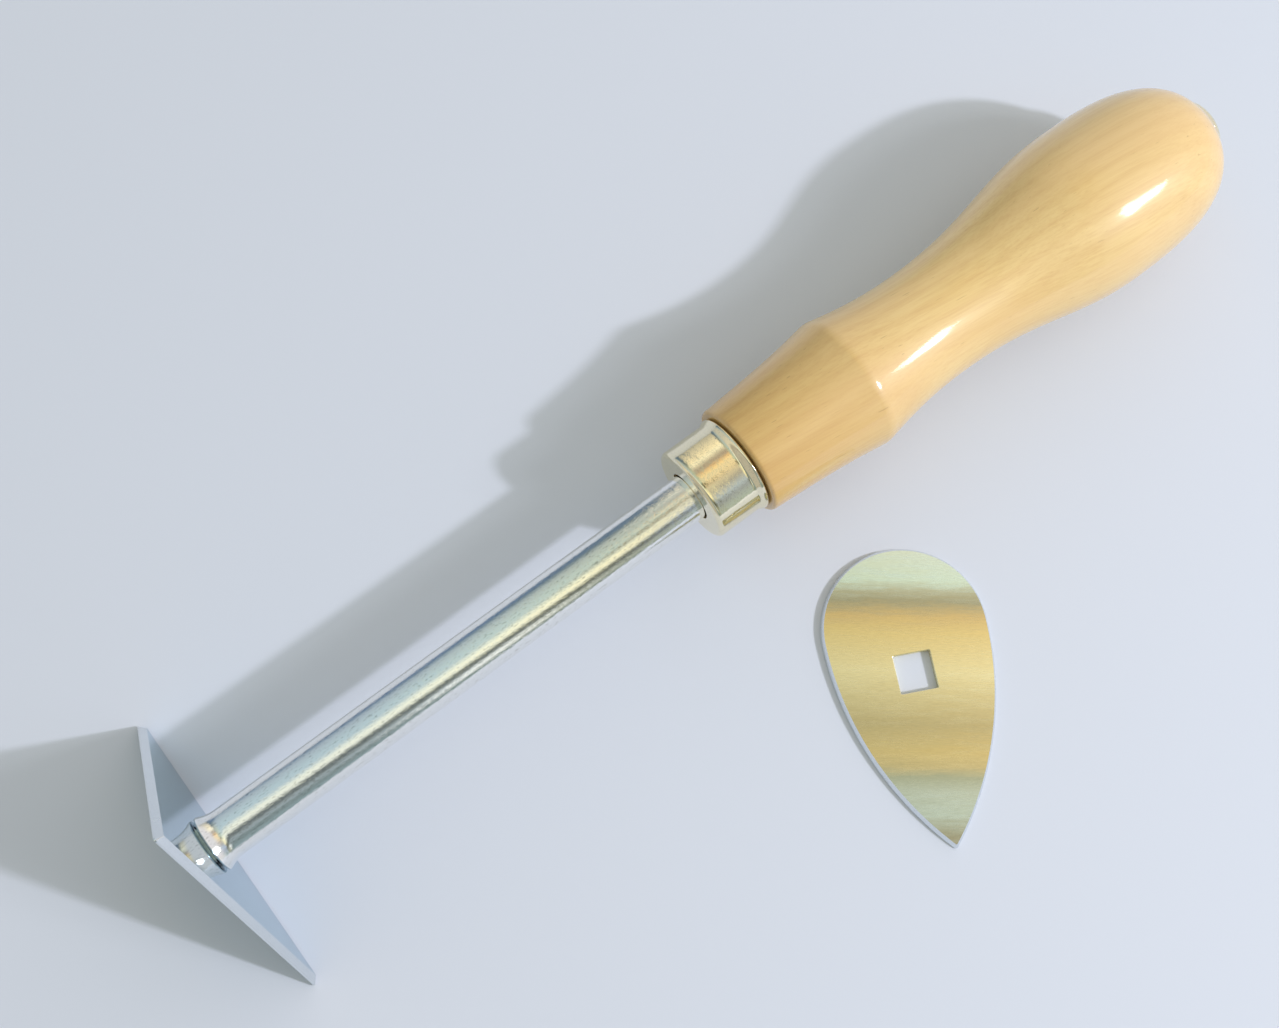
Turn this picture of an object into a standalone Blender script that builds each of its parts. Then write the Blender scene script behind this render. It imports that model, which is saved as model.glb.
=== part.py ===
"""A molding scraper: a turned wood handle on a plated steel shank, and the two blades it takes.

Metres, with +Z up. The tool's axis runs along +X, from the fitted blade to the handle's butt. The
origin is under that axis, in the middle of the straight edge that the fitted blade stands on, so
the tool lies on the plane Z = 0 as on a bench. The blade's edge and the handle's bulb touch it.
"""

import math

import bmesh
import bpy
from mathutils import geometry

# Clearances and finesse
SEAT_GAP = 0.0003
CUT_OVERRUN = 0.002
WELD_DISTANCE = 0.00001
ROUND_STEPS = 48
CURVE_STEPS = 9
CORNER_STEPS = 4
SHARP_ANGLE = math.radians(28)

# Both blades: sheet steel with a square hole, ground to a bevel all round
BLADE_THICKNESS = 0.0015
EDGE_LAND = 0.0003
SQUARE_HOLE = 0.008

# Triangular blade, fitted
TRIANGLE_SIDE = 0.0635
TRIANGLE_CORNER_RADIUS = 0.0005
TRIANGLE_INNER_CORNER_RADIUS = 0.0002
TRIANGLE_GRIND = 0.00095

# Teardrop blade, lying beside the tool
TEARDROP_END_RADIUS = 0.0178
TEARDROP_SIDE_RADIUS = 0.067
TEARDROP_TIP_RADIUS = 0.0006
TEARDROP_INNER_TIP_RADIUS = 0.0002
TEARDROP_GRIND = 0.0006
TEARDROP_HOLE_SETBACK = 0.0088
TEARDROP_X = 0.1336
TEARDROP_Y = -0.0549
TEARDROP_TURN = math.radians(-26.2)

# Blade screw and its washer
SCREW_THREAD_RADIUS = 0.0024
SCREW_LENGTH = 0.012
SCREW_POINT_CHAMFER = 0.0006
SCREW_HEAD_RADIUS = 0.0048
SCREW_HEAD_RIM = 0.0009
SCREW_HEAD_DOME = 0.0021
SCREW_SLOT_WIDTH = 0.0012
SCREW_SLOT_DEPTH = 0.0015
WASHER_RADIUS = 0.0062
WASHER_THICKNESS = 0.001

# Shank: collar at the blade, square spigot through it, rod, shoulder and tang
SPIGOT_RECESS = 0.0002
SPIGOT_CORNER = 0.0004
COLLAR_RADIUS = 0.0059
COLLAR_EDGE_ROUND = 0.0003
COLLAR_RIM = 0.0008
COLLAR_FLARE = 0.0032
ROD_RADIUS = 0.005
ROD_REACH = 0.1135
ROD_SOCKET_DEPTH = 0.0147
ROD_SHOULDER_CHAMFER = 0.0005
TANG_RADIUS = 0.003
TANG_END_CHAMFER = 0.0006
TAPPED_HOLE_RUNOUT = 0.002

# Ferrule: drawn steel cup with a hole in its face and a flared lip
FERRULE_RADIUS = 0.0102
FERRULE_LENGTH = 0.0118
FERRULE_WALL = 0.0008
FERRULE_FACE_THICKNESS = 0.001
FERRULE_EDGE_ROUND = 0.001
FERRULE_HOLE_CLEARANCE = 0.0004
LIP_HEIGHT = 0.0006
LIP_LENGTH = 0.0022
LIP_EDGE_ROUND = 0.0004

# Handle: turned wood
TENON_CHAMFER = 0.0008
HANDLE_FRONT_RADIUS = 0.0122
HANDLE_FRONT_ROUND = 0.0008
CONE_LENGTH = 0.0283
RIDGE_RADIUS = 0.015
COVE_LENGTH = 0.0219
WAIST_RADIUS = 0.0125
SWELL_LENGTH = 0.0449
BUTT_LENGTH = 0.0315
BUTT_ROUNDNESS = 2.8
BUTT_FACE_RADIUS = 0.0072
BUTT_STEPS = 14

# Slopes of the handle's curves, as rise over run, and how far each holds along its stretch
CONE_START_SLOPE_SHARE = 0.07
CONE_END_SLOPE_SHARE = 0.17
COVE_START_SLOPE_SHARE = -0.21
CURVE_HOLD_SHARE = 0.36
SWELL_START_HOLD_SHARE = 0.48
SWELL_END_HOLD_SHARE = 0.36

# Butt nut: domed head with a threaded sleeve in the handle's bore
NUT_HEAD_RADIUS = 0.007
NUT_RIM = 0.0006
NUT_DOME = 0.0025
NUT_SLEEVE_RADIUS = 0.0043
NUT_SLEEVE_LENGTH = 0.010
NUT_BORE_PAST_SEAT = 0.0008

# Places that follow from the sizes above. X stations run along the tool's axis.
TRIANGLE_INRADIUS = TRIANGLE_SIDE / (2 * math.sqrt(3))
AXIS_Z = TRIANGLE_INRADIUS
BULB_RADIUS = AXIS_Z
BLADE_FRONT_X = -EDGE_LAND / 2
BLADE_REAR_X = BLADE_FRONT_X + BLADE_THICKNESS
WASHER_FRONT_X = BLADE_FRONT_X - SEAT_GAP - WASHER_THICKNESS
SCREW_SEAT_X = WASHER_FRONT_X - SEAT_GAP
SHANK_FRONT_X = BLADE_REAR_X + SEAT_GAP
SPIGOT_FRONT_X = BLADE_FRONT_X + SPIGOT_RECESS
TAPPED_HOLE_END_X = SCREW_SEAT_X + SCREW_LENGTH + TAPPED_HOLE_RUNOUT
FERRULE_FRONT_X = SHANK_FRONT_X + ROD_REACH
FERRULE_REAR_X = FERRULE_FRONT_X + FERRULE_LENGTH
ROD_END_X = FERRULE_FRONT_X + ROD_SOCKET_DEPTH
TENON_FRONT_X = FERRULE_FRONT_X + FERRULE_FACE_THICKNESS + SEAT_GAP
HANDLE_FRONT_X = FERRULE_REAR_X + SEAT_GAP
RIDGE_X = HANDLE_FRONT_X + CONE_LENGTH
WAIST_X = RIDGE_X + COVE_LENGTH
BULB_X = WAIST_X + SWELL_LENGTH
BUTT_FACE_SHARE = (1 - (BUTT_FACE_RADIUS / BULB_RADIUS) ** BUTT_ROUNDNESS) ** (1 / BUTT_ROUNDNESS)
HANDLE_REAR_X = BULB_X + BUTT_LENGTH * BUTT_FACE_SHARE
NUT_SEAT_X = HANDLE_REAR_X + SEAT_GAP
TANG_END_X = NUT_SEAT_X + NUT_BORE_PAST_SEAT - SEAT_GAP

# Fits that follow from the pieces they hold
SPIGOT_SIDE = SQUARE_HOLE - 2 * SEAT_GAP
TAPPED_HOLE_RADIUS = SCREW_THREAD_RADIUS + SEAT_GAP
WASHER_BORE_RADIUS = SCREW_THREAD_RADIUS + SEAT_GAP
FERRULE_HOLE_RADIUS = ROD_RADIUS + FERRULE_HOLE_CLEARANCE
FERRULE_INNER_RADIUS = FERRULE_RADIUS - FERRULE_WALL
TENON_RADIUS = FERRULE_INNER_RADIUS - SEAT_GAP
ROD_SOCKET_RADIUS = ROD_RADIUS + SEAT_GAP
TANG_BORE_RADIUS = TANG_RADIUS + SEAT_GAP
NUT_POCKET_RADIUS = NUT_SLEEVE_RADIUS + SEAT_GAP

# Finishes: base colour, roughness and metallic
WOOD_FINISH = ("lacquered_beech", (0.72, 0.43, 0.17), 0.25, 0.0)
PLATE_FINISH = ("bright_plated_steel", (0.78, 0.77, 0.74), 0.15, 1.0)
BLADE_FINISH = ("satin_blade_steel", (0.74, 0.70, 0.60), 0.28, 1.0)
SCREW_FINISH = ("zinc_plated_screw_steel", (0.66, 0.66, 0.66), 0.3, 1.0)


def clear_scene():
    for obj in list(bpy.data.objects):
        bpy.data.objects.remove(obj, do_unlink=True)


def new_collection(name):
    collection = bpy.data.collections.new(name)
    bpy.context.scene.collection.children.link(collection)
    return collection


def new_material(name, colour, roughness, metallic):
    material = bpy.data.materials.new(name)
    material.use_nodes = True
    shader = material.node_tree.nodes["Principled BSDF"]
    shader.inputs["Base Color"].default_value = (*colour, 1.0)
    shader.inputs["Roughness"].default_value = roughness
    shader.inputs["Metallic"].default_value = metallic
    return material


def new_empty(name, collection, location, rotation, parent=None):
    """A frame that carries pieces."""
    empty = bpy.data.objects.new(name, None)
    collection.objects.link(empty)
    empty.location = location
    empty.rotation_euler = rotation
    empty.parent = parent
    return empty


def new_piece(name, mesh, collection, parent, station, finish=None):
    """A piece at a station along its parent's Z axis."""
    piece = bpy.data.objects.new(name, mesh)
    collection.objects.link(piece)
    piece.parent = parent
    piece.location.z = station
    if finish:
        piece.data.materials.append(new_material(*finish))
    return piece


def new_cutter(name, mesh, collection, parent, station):
    """A hidden shape that a Boolean takes away from a piece, or joins to it."""
    cutter = new_piece(name, mesh, collection, parent, station)
    cutter.hide_render = True
    cutter.display_type = "WIRE"
    return cutter


def add_boolean(piece, cutter, operation):
    boolean = piece.modifiers.new(operation.lower(), "BOOLEAN")
    boolean.operation = operation
    boolean.object = cutter
    boolean.solver = "EXACT"


def settle(piece):
    """Makes the modifiers' result the piece's own mesh, smooth but for its sharp edges."""
    bpy.context.view_layer.update()
    evaluated = piece.evaluated_get(bpy.context.evaluated_depsgraph_get())
    mesh = bpy.data.meshes.new_from_object(evaluated)
    piece.modifiers.clear()
    piece.data = mesh
    mesh.shade_smooth()
    mesh.set_sharp_from_angle(angle=SHARP_ANGLE)


def arc(centre, radii, start, end, steps):
    """Points (x, radius) on an ellipse's arc, both ends included, with angles in degrees."""
    points = []
    for i in range(steps + 1):
        angle = math.radians(start + (end - start) * i / steps)
        points.append((centre[0] + radii[0] * math.cos(angle), centre[1] + radii[1] * math.sin(angle)))
    return points


def curve(start, start_slope, start_hold, end, end_slope, end_hold):
    """Points (x, radius) on a curve that leaves and meets its ends at the given slopes."""
    run = end[0] - start[0]
    first = (start[0] + run * start_hold, start[1] + run * start_hold * start_slope)
    last = (end[0] - run * end_hold, end[1] - run * end_hold * end_slope)
    knots = [(x, radius, 0) for x, radius in (start, first, last, end)]
    return [(point[0], point[1]) for point in geometry.interpolate_bezier(*knots, CURVE_STEPS + 1)]


def turned_mesh(name, outline):
    """A closed profile of (x, radius) points, out along the piece's outside and back along its inside.

    A side of the profile that lies on the axis is left out, because turning it makes no surface.
    """
    mesh = bpy.data.meshes.new(name)
    points = [(radius, 0, x) for x, radius in reversed(outline)]
    sides = [(i, (i + 1) % len(points)) for i in range(len(points))]
    mesh.from_pydata(points, [side for side in sides if points[side[0]][0] or points[side[1]][0]], [])
    return mesh


def add_turning(piece, steps=ROUND_STEPS):
    """Turns the piece's profile round its own Z axis."""
    screw = piece.modifiers.new("turning", "SCREW")
    screw.axis = "Z"
    screw.steps = steps
    screw.render_steps = steps
    screw.use_merge_vertices = True
    screw.merge_threshold = WELD_DISTANCE


def box_mesh(name, x_side, y_side, z_from, z_to):
    """A box centred on the Z axis, between two heights."""
    mesh = bpy.data.meshes.new(name)
    box = bmesh.new()
    bmesh.ops.create_cube(box, size=1)
    bmesh.ops.scale(box, vec=(x_side, y_side, z_to - z_from), verts=box.verts)
    bmesh.ops.translate(box, vec=(0, 0, (z_from + z_to) / 2), verts=box.verts)
    box.to_mesh(mesh)
    box.free()
    return mesh


def rod_mesh(name, radius, z_from, z_to):
    """A plain cylinder on the Z axis, between two heights."""
    mesh = bpy.data.meshes.new(name)
    rod = bmesh.new()
    bmesh.ops.create_cone(
        rod, cap_ends=True, segments=ROUND_STEPS, radius1=radius, radius2=radius, depth=z_to - z_from
    )
    bmesh.ops.translate(rod, vec=(0, 0, (z_from + z_to) / 2), verts=rod.verts)
    rod.to_mesh(mesh)
    rod.free()
    return mesh


def plate_mesh(name, sections):
    """A closed plate lofted through outlines of as many points, each given with its height."""
    mesh = bpy.data.meshes.new(name)
    plate = bmesh.new()
    rings = []
    for outline, height in sections:
        corners = [plate.verts.new((x, y, height)) for x, y in outline]
        rings.append([plate.edges.new((corners[i - 1], corners[i])) for i in range(len(corners))])
    for lower, upper in zip(rings, rings[1:]):
        bmesh.ops.bridge_loops(plate, edges=lower + upper)
    for ring in (rings[0], rings[-1]):
        bmesh.ops.contextual_create(plate, geom=ring)
    bmesh.ops.recalc_face_normals(plate, faces=plate.faces)
    plate.to_mesh(mesh)
    plate.free()
    return mesh


def ground_plate(name, outer, inner):
    """A blade's plate: a narrow land at its cutting face, then the ground bevel to its other face."""
    return plate_mesh(name, [(outer, 0), (outer, EDGE_LAND), (inner, BLADE_THICKNESS)])


def triangle_outline(inradius, corner_radius):
    """An equilateral triangle about the origin, its corners rounded and one of them at -X."""
    points = []
    for direction in (180, 300, 60):
        angle = math.radians(direction)
        reach = 2 * (inradius - corner_radius)
        centre = (reach * math.cos(angle), reach * math.sin(angle))
        radii = (corner_radius, corner_radius)
        points += arc(centre, radii, direction - 60, direction + 60, CORNER_STEPS)
    return points


def teardrop_outline(inset, tip_radius):
    """A round end at +Y whose sides run on as wider arcs to a tip at -Y, about the hole's centre."""
    end_radius = TEARDROP_END_RADIUS - inset
    side_radius = TEARDROP_SIDE_RADIUS - inset
    side_offset = side_radius - end_radius
    drop = math.sqrt((side_radius - tip_radius) ** 2 - side_offset**2)
    lean = math.degrees(math.atan2(drop, side_offset))
    end_centre = (0, TEARDROP_HOLE_SETBACK)
    points = arc(end_centre, (end_radius, end_radius), 0, 180, ROUND_STEPS // 2)
    left_centre = (side_offset, TEARDROP_HOLE_SETBACK)
    side_radii = (side_radius, side_radius)
    points += arc(left_centre, side_radii, 180, 180 + lean, CURVE_STEPS)[1:-1]
    tip_centre = (0, TEARDROP_HOLE_SETBACK - drop)
    points += arc(tip_centre, (tip_radius, tip_radius), 180 + lean, 360 - lean, CORNER_STEPS)
    right_centre = (-side_offset, TEARDROP_HOLE_SETBACK)
    points += arc(right_centre, side_radii, -lean, 0, CURVE_STEPS)[1:-1]
    return points


def add_square_hole(blade, cutters, parent, station):
    cutter_mesh = box_mesh(
        blade.name + "_hole", SQUARE_HOLE, SQUARE_HOLE, -CUT_OVERRUN, BLADE_THICKNESS + CUT_OVERRUN
    )
    cutter = new_cutter(blade.name + "_hole_cutter", cutter_mesh, cutters, parent, station)
    add_boolean(blade, cutter, "DIFFERENCE")
    settle(blade)


def make_triangular_blade(parts, cutters, axis):
    """Stands square to the axis on one side, its cutting face away from the handle."""
    outer = triangle_outline(TRIANGLE_INRADIUS, TRIANGLE_CORNER_RADIUS)
    inner = triangle_outline(TRIANGLE_INRADIUS - TRIANGLE_GRIND, TRIANGLE_INNER_CORNER_RADIUS)
    mesh = ground_plate("triangular_blade", outer, inner)
    blade = new_piece("triangular_blade", mesh, parts, axis, BLADE_FRONT_X, BLADE_FINISH)
    add_square_hole(blade, cutters, axis, BLADE_FRONT_X)


def make_teardrop_blade(parts, cutters, place):
    """Lies flat, its cutting face down."""
    outer = teardrop_outline(0, TEARDROP_TIP_RADIUS)
    inner = teardrop_outline(TEARDROP_GRIND, TEARDROP_INNER_TIP_RADIUS)
    mesh = ground_plate("teardrop_blade", outer, inner)
    blade = new_piece("teardrop_blade", mesh, parts, place, 0, BLADE_FINISH)
    add_square_hole(blade, cutters, place, 0)


def make_blade_washer(parts, axis):
    """Bridges the square hole between the screw's head and the blade."""
    outline = [
        (0, WASHER_BORE_RADIUS),
        (0, WASHER_RADIUS),
        (WASHER_THICKNESS, WASHER_RADIUS),
        (WASHER_THICKNESS, WASHER_BORE_RADIUS),
    ]
    mesh = turned_mesh("blade_washer", outline)
    washer = new_piece("blade_washer", mesh, parts, axis, WASHER_FRONT_X, SCREW_FINISH)
    add_turning(washer)
    settle(washer)


def make_blade_screw(parts, cutters, axis):
    """Domed head with a slot. Its own X = 0 is the head's underside, and the head is at -X."""
    rim_x = -SCREW_HEAD_RIM
    dome = arc((rim_x, 0), (SCREW_HEAD_DOME, SCREW_HEAD_RADIUS), 180, 90, CURVE_STEPS)
    outline = [(dome[0][0], 0)] + dome[1:] + [
        (0, SCREW_HEAD_RADIUS),
        (0, SCREW_THREAD_RADIUS),
        (SCREW_LENGTH - SCREW_POINT_CHAMFER, SCREW_THREAD_RADIUS),
        (SCREW_LENGTH, SCREW_THREAD_RADIUS - SCREW_POINT_CHAMFER),
        (SCREW_LENGTH, 0),
    ]
    mesh = turned_mesh("blade_screw", outline)
    screw = new_piece("blade_screw", mesh, parts, axis, SCREW_SEAT_X, SCREW_FINISH)
    add_turning(screw)
    top = rim_x - SCREW_HEAD_DOME
    slot_mesh = box_mesh(
        "screw_slot",
        2 * (SCREW_HEAD_RADIUS + CUT_OVERRUN),
        SCREW_SLOT_WIDTH,
        top - CUT_OVERRUN,
        top + SCREW_SLOT_DEPTH,
    )
    slot = new_cutter("screw_slot_cutter", slot_mesh, cutters, axis, SCREW_SEAT_X)
    add_boolean(screw, slot, "DIFFERENCE")
    settle(screw)


def make_shank(parts, cutters, axis):
    """Own X = 0 is the collar's face, which the blade seats on. The spigot stands out to -X."""
    rod_end = ROD_END_X - SHANK_FRONT_X
    tang_end = TANG_END_X - SHANK_FRONT_X
    edge_centre = (COLLAR_EDGE_ROUND, COLLAR_RADIUS - COLLAR_EDGE_ROUND)
    edge_radii = (COLLAR_EDGE_ROUND, COLLAR_EDGE_ROUND)
    flare_end = (COLLAR_RIM + COLLAR_FLARE, ROD_RADIUS)
    flare_slope = -2 * (COLLAR_RADIUS - ROD_RADIUS) / COLLAR_FLARE
    flare_start = (COLLAR_RIM, COLLAR_RADIUS)
    outline = [(0, 0)]
    outline += arc(edge_centre, edge_radii, 180, 90, CORNER_STEPS)
    outline += curve(flare_start, flare_slope, CURVE_HOLD_SHARE, flare_end, 0, CURVE_HOLD_SHARE)
    outline += [
        (rod_end - ROD_SHOULDER_CHAMFER, ROD_RADIUS),
        (rod_end, ROD_RADIUS - ROD_SHOULDER_CHAMFER),
        (rod_end, TANG_RADIUS),
        (tang_end - TANG_END_CHAMFER, TANG_RADIUS),
        (tang_end, TANG_RADIUS - TANG_END_CHAMFER),
        (tang_end, 0),
    ]
    mesh = turned_mesh("shank", outline)
    shank = new_piece("shank", mesh, parts, axis, SHANK_FRONT_X, PLATE_FINISH)
    add_turning(shank)
    spigot_front = SPIGOT_FRONT_X - SHANK_FRONT_X
    spigot_mesh = box_mesh("spigot", SPIGOT_SIDE, SPIGOT_SIDE, spigot_front, COLLAR_RIM)
    spigot = new_cutter("spigot_joiner", spigot_mesh, cutters, axis, SHANK_FRONT_X)
    corners = spigot.modifiers.new("corners", "BEVEL")
    corners.width = SPIGOT_CORNER
    corners.segments = 2
    corners.affect = "EDGES"
    add_boolean(shank, spigot, "UNION")
    hole_mesh = rod_mesh(
        "tapped_hole", TAPPED_HOLE_RADIUS, spigot_front - CUT_OVERRUN, TAPPED_HOLE_END_X - SHANK_FRONT_X
    )
    hole = new_cutter("tapped_hole_cutter", hole_mesh, cutters, axis, SHANK_FRONT_X)
    add_boolean(shank, hole, "DIFFERENCE")
    settle(shank)


def make_ferrule(parts, axis):
    """Own X = 0 is the cup's flat face."""
    edge_centre = (FERRULE_EDGE_ROUND, FERRULE_RADIUS - FERRULE_EDGE_ROUND)
    edge_radii = (FERRULE_EDGE_ROUND, FERRULE_EDGE_ROUND)
    lip_start = (FERRULE_LENGTH - LIP_LENGTH, FERRULE_RADIUS)
    lip_end = (FERRULE_LENGTH - LIP_EDGE_ROUND, FERRULE_RADIUS + LIP_HEIGHT)
    lip_centre = (lip_end[0], lip_end[1] - LIP_EDGE_ROUND)
    lip_radii = (LIP_EDGE_ROUND, LIP_EDGE_ROUND)
    hold = CURVE_HOLD_SHARE
    outline = [(0, FERRULE_HOLE_RADIUS)]
    outline += arc(edge_centre, edge_radii, 180, 90, CURVE_STEPS)
    outline += curve(lip_start, 0, hold, lip_end, 0, hold)[:-1]
    outline += arc(lip_centre, lip_radii, 90, 0, CORNER_STEPS)
    outline += [
        (FERRULE_LENGTH, FERRULE_INNER_RADIUS),
        (FERRULE_FACE_THICKNESS, FERRULE_INNER_RADIUS),
        (FERRULE_FACE_THICKNESS, FERRULE_HOLE_RADIUS),
    ]
    mesh = turned_mesh("ferrule", outline)
    ferrule = new_piece("ferrule", mesh, parts, axis, FERRULE_FRONT_X, PLATE_FINISH)
    add_turning(ferrule)
    settle(ferrule)


def butt_curve():
    """The handle's rounded end, from the bulb to the flat face that the nut seats on."""
    last = math.acos(BUTT_FACE_SHARE ** (BUTT_ROUNDNESS / 2))
    points = []
    for i in range(1, BUTT_STEPS + 1):
        angle = math.pi / 2 - (math.pi / 2 - last) * i / BUTT_STEPS
        reach = math.cos(angle) ** (2 / BUTT_ROUNDNESS)
        height = math.sin(angle) ** (2 / BUTT_ROUNDNESS)
        points.append((BULB_X + BUTT_LENGTH * reach, BULB_RADIUS * height))
    return points


def handle_outside():
    """Tenon, shoulder, cone up to the ridge, cove down to the waist, swell to the bulb, butt."""
    front_centre = (HANDLE_FRONT_X + HANDLE_FRONT_ROUND, HANDLE_FRONT_RADIUS - HANDLE_FRONT_ROUND)
    front_radii = (HANDLE_FRONT_ROUND, HANDLE_FRONT_ROUND)
    cone_start = (front_centre[0], HANDLE_FRONT_RADIUS)
    ridge = (RIDGE_X, RIDGE_RADIUS)
    waist = (WAIST_X, WAIST_RADIUS)
    bulb = (BULB_X, BULB_RADIUS)
    hold = CURVE_HOLD_SHARE
    outline = [
        (TENON_FRONT_X, TENON_RADIUS - TENON_CHAMFER),
        (TENON_FRONT_X + TENON_CHAMFER, TENON_RADIUS),
        (HANDLE_FRONT_X, TENON_RADIUS),
    ]
    outline += arc(front_centre, front_radii, 180, 90, CORNER_STEPS)[:-1]
    outline += curve(cone_start, CONE_START_SLOPE_SHARE, hold, ridge, CONE_END_SLOPE_SHARE, hold)[:-1]
    outline += curve(ridge, COVE_START_SLOPE_SHARE, hold, waist, 0, hold)[:-1]
    outline += curve(waist, 0, SWELL_START_HOLD_SHARE, bulb, 0, SWELL_END_HOLD_SHARE)
    return outline + butt_curve()


def handle_inside():
    """From the butt: the nut's pocket, the tang's bore and the rod's socket, which opens forward."""
    pocket_end = NUT_SEAT_X - NUT_SLEEVE_LENGTH - SEAT_GAP
    socket_end = ROD_END_X + SEAT_GAP
    return [
        (HANDLE_REAR_X, NUT_POCKET_RADIUS),
        (pocket_end, NUT_POCKET_RADIUS),
        (pocket_end, TANG_BORE_RADIUS),
        (socket_end, TANG_BORE_RADIUS),
        (socket_end, ROD_SOCKET_RADIUS),
        (TENON_FRONT_X, ROD_SOCKET_RADIUS),
    ]


def make_handle(parts, axis):
    mesh = turned_mesh("handle", handle_outside() + handle_inside())
    handle = new_piece("handle", mesh, parts, axis, 0, WOOD_FINISH)
    add_turning(handle)
    settle(handle)


def make_butt_nut(parts, axis):
    """Own X = 0 is the underside of the head, which draws the handle up to the shank's shoulder."""
    dome = arc((NUT_RIM, 0), (NUT_DOME, NUT_HEAD_RADIUS), 90, 0, CURVE_STEPS)
    outline = [
        (-NUT_SLEEVE_LENGTH, TANG_BORE_RADIUS),
        (-NUT_SLEEVE_LENGTH, NUT_SLEEVE_RADIUS),
        (0, NUT_SLEEVE_RADIUS),
        (0, NUT_HEAD_RADIUS),
    ]
    outline += dome[:-1] + [
        (dome[-1][0], 0),
        (NUT_BORE_PAST_SEAT, 0),
        (NUT_BORE_PAST_SEAT, TANG_BORE_RADIUS),
    ]
    mesh = turned_mesh("butt_nut", outline)
    nut = new_piece("butt_nut", mesh, parts, axis, NUT_SEAT_X, PLATE_FINISH)
    add_turning(nut)
    settle(nut)


def main():
    clear_scene()
    parts = new_collection("molding_scraper")
    cutters = new_collection("cutters")
    axis = new_empty("tool_axis", parts, (0, 0, AXIS_Z), (0, math.pi / 2, 0))
    place = new_empty("teardrop_place", parts, (TEARDROP_X, TEARDROP_Y, 0), (0, 0, TEARDROP_TURN))
    make_triangular_blade(parts, cutters, axis)
    make_teardrop_blade(parts, cutters, place)
    make_blade_washer(parts, axis)
    make_blade_screw(parts, cutters, axis)
    make_shank(parts, cutters, axis)
    make_ferrule(parts, axis)
    make_handle(parts, axis)
    make_butt_nut(parts, axis)


main()
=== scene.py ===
"""Looks of a molding scraper: turned beech handle, plated shank and ferrule, and its two blades."""

import logging
import math
from dataclasses import dataclass
from enum import Enum

import bmesh
import bpy
from bmesh.types import BMEdge, BMesh, BMVert
from bpy.types import ID, Material, Node, NodeSocket, NodeTree, Object
from mathutils import Matrix, Quaternion, Vector, geometry


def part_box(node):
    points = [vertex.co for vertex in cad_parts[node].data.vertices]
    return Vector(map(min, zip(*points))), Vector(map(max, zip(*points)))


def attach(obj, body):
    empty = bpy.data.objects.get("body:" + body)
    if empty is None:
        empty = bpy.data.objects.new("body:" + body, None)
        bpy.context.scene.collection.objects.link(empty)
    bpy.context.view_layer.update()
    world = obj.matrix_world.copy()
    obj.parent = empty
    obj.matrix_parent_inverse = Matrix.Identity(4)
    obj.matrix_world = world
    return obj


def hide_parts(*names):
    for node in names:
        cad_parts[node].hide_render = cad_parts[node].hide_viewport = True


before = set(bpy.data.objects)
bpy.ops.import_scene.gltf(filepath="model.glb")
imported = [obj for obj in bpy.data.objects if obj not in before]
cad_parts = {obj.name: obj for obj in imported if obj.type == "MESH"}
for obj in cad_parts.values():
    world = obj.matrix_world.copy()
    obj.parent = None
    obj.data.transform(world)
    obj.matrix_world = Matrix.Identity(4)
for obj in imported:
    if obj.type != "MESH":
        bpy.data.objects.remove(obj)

Pair = tuple[float, float]
Triple = tuple[float, float, float]
Stops = tuple[tuple[float, str], ...]

MM = 0.001
FULL_TURN = 2 * math.pi
WAVE_SPACING = FULL_TURN / 20  # how far apart a wave texture's rings lie at a scale of 1
AXIS_Z = sum(corner.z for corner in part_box("handle")) / 2  # of the turned pieces' axis
AXIS_POINT = Vector((0.0, 0.0, AXIS_Z))
SEAT_GAP = 0.3 * MM  # between pieces that touch, as in the CAD model
MEETING_SLACK = 0.001 * MM  # points nearer than this are taken as one
SHARP_ANGLE = math.radians(24)  # shading breaks where a surface turns more than this
SQUARE_SHARE = 0.99999  # a face that lies this square to an axis is shaded flat

log = logging.getLogger("molding_scraper")


class Body(Enum):
    """The bodies of the frame that pieces ride on."""

    HANDLE = "handle_and_shank"
    FITTED_BLADE = "fitted_blade"
    SCREW = "clamp_screw"
    LOOSE_BLADE = "loose_blade"


class Slot(Enum):
    """The record's material slots."""

    BLADE = "blade_steel"
    SCREW = "screw_steel"
    PLATE = "plated_steel"
    WOOD = "lacquered_wood"


class Lay(Enum):
    """The way that a metal surface's fine marks run, as how close they lie along X, Y and Z."""

    ALONG = (0.3, 1.0, 1.0)
    EVEN = (1.0, 1.0, 1.0)


def linear(colour: str) -> tuple[float, float, float, float]:
    """Turns an sRGB hex colour to the linear one that shaders take.

    Args:
        colour: Six hex digits after a number sign.

    Returns:
        Red, green, blue and an opaque alpha.
    """
    channels = [int(colour[i : i + 2], 16) / 255 for i in (1, 3, 5)]
    levels = [c / 12.92 if c <= 0.04045 else ((c + 0.055) / 1.055) ** 2.4 for c in channels]
    return (levels[0], levels[1], levels[2], 1.0)


def feed(node: Node, inputs: dict) -> None:
    """Sets or links a node's inputs.

    Args:
        node: The node.
        inputs: By name or number: a value, a hex colour, a socket, or a node for its first output.
    """
    for name, value in inputs.items():
        if isinstance(value, Node):
            value = value.outputs[0]
        if isinstance(value, NodeSocket):
            node.id_data.links.new(value, node.inputs[name])
        else:
            node.inputs[name].default_value = linear(value) if isinstance(value, str) else value


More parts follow.
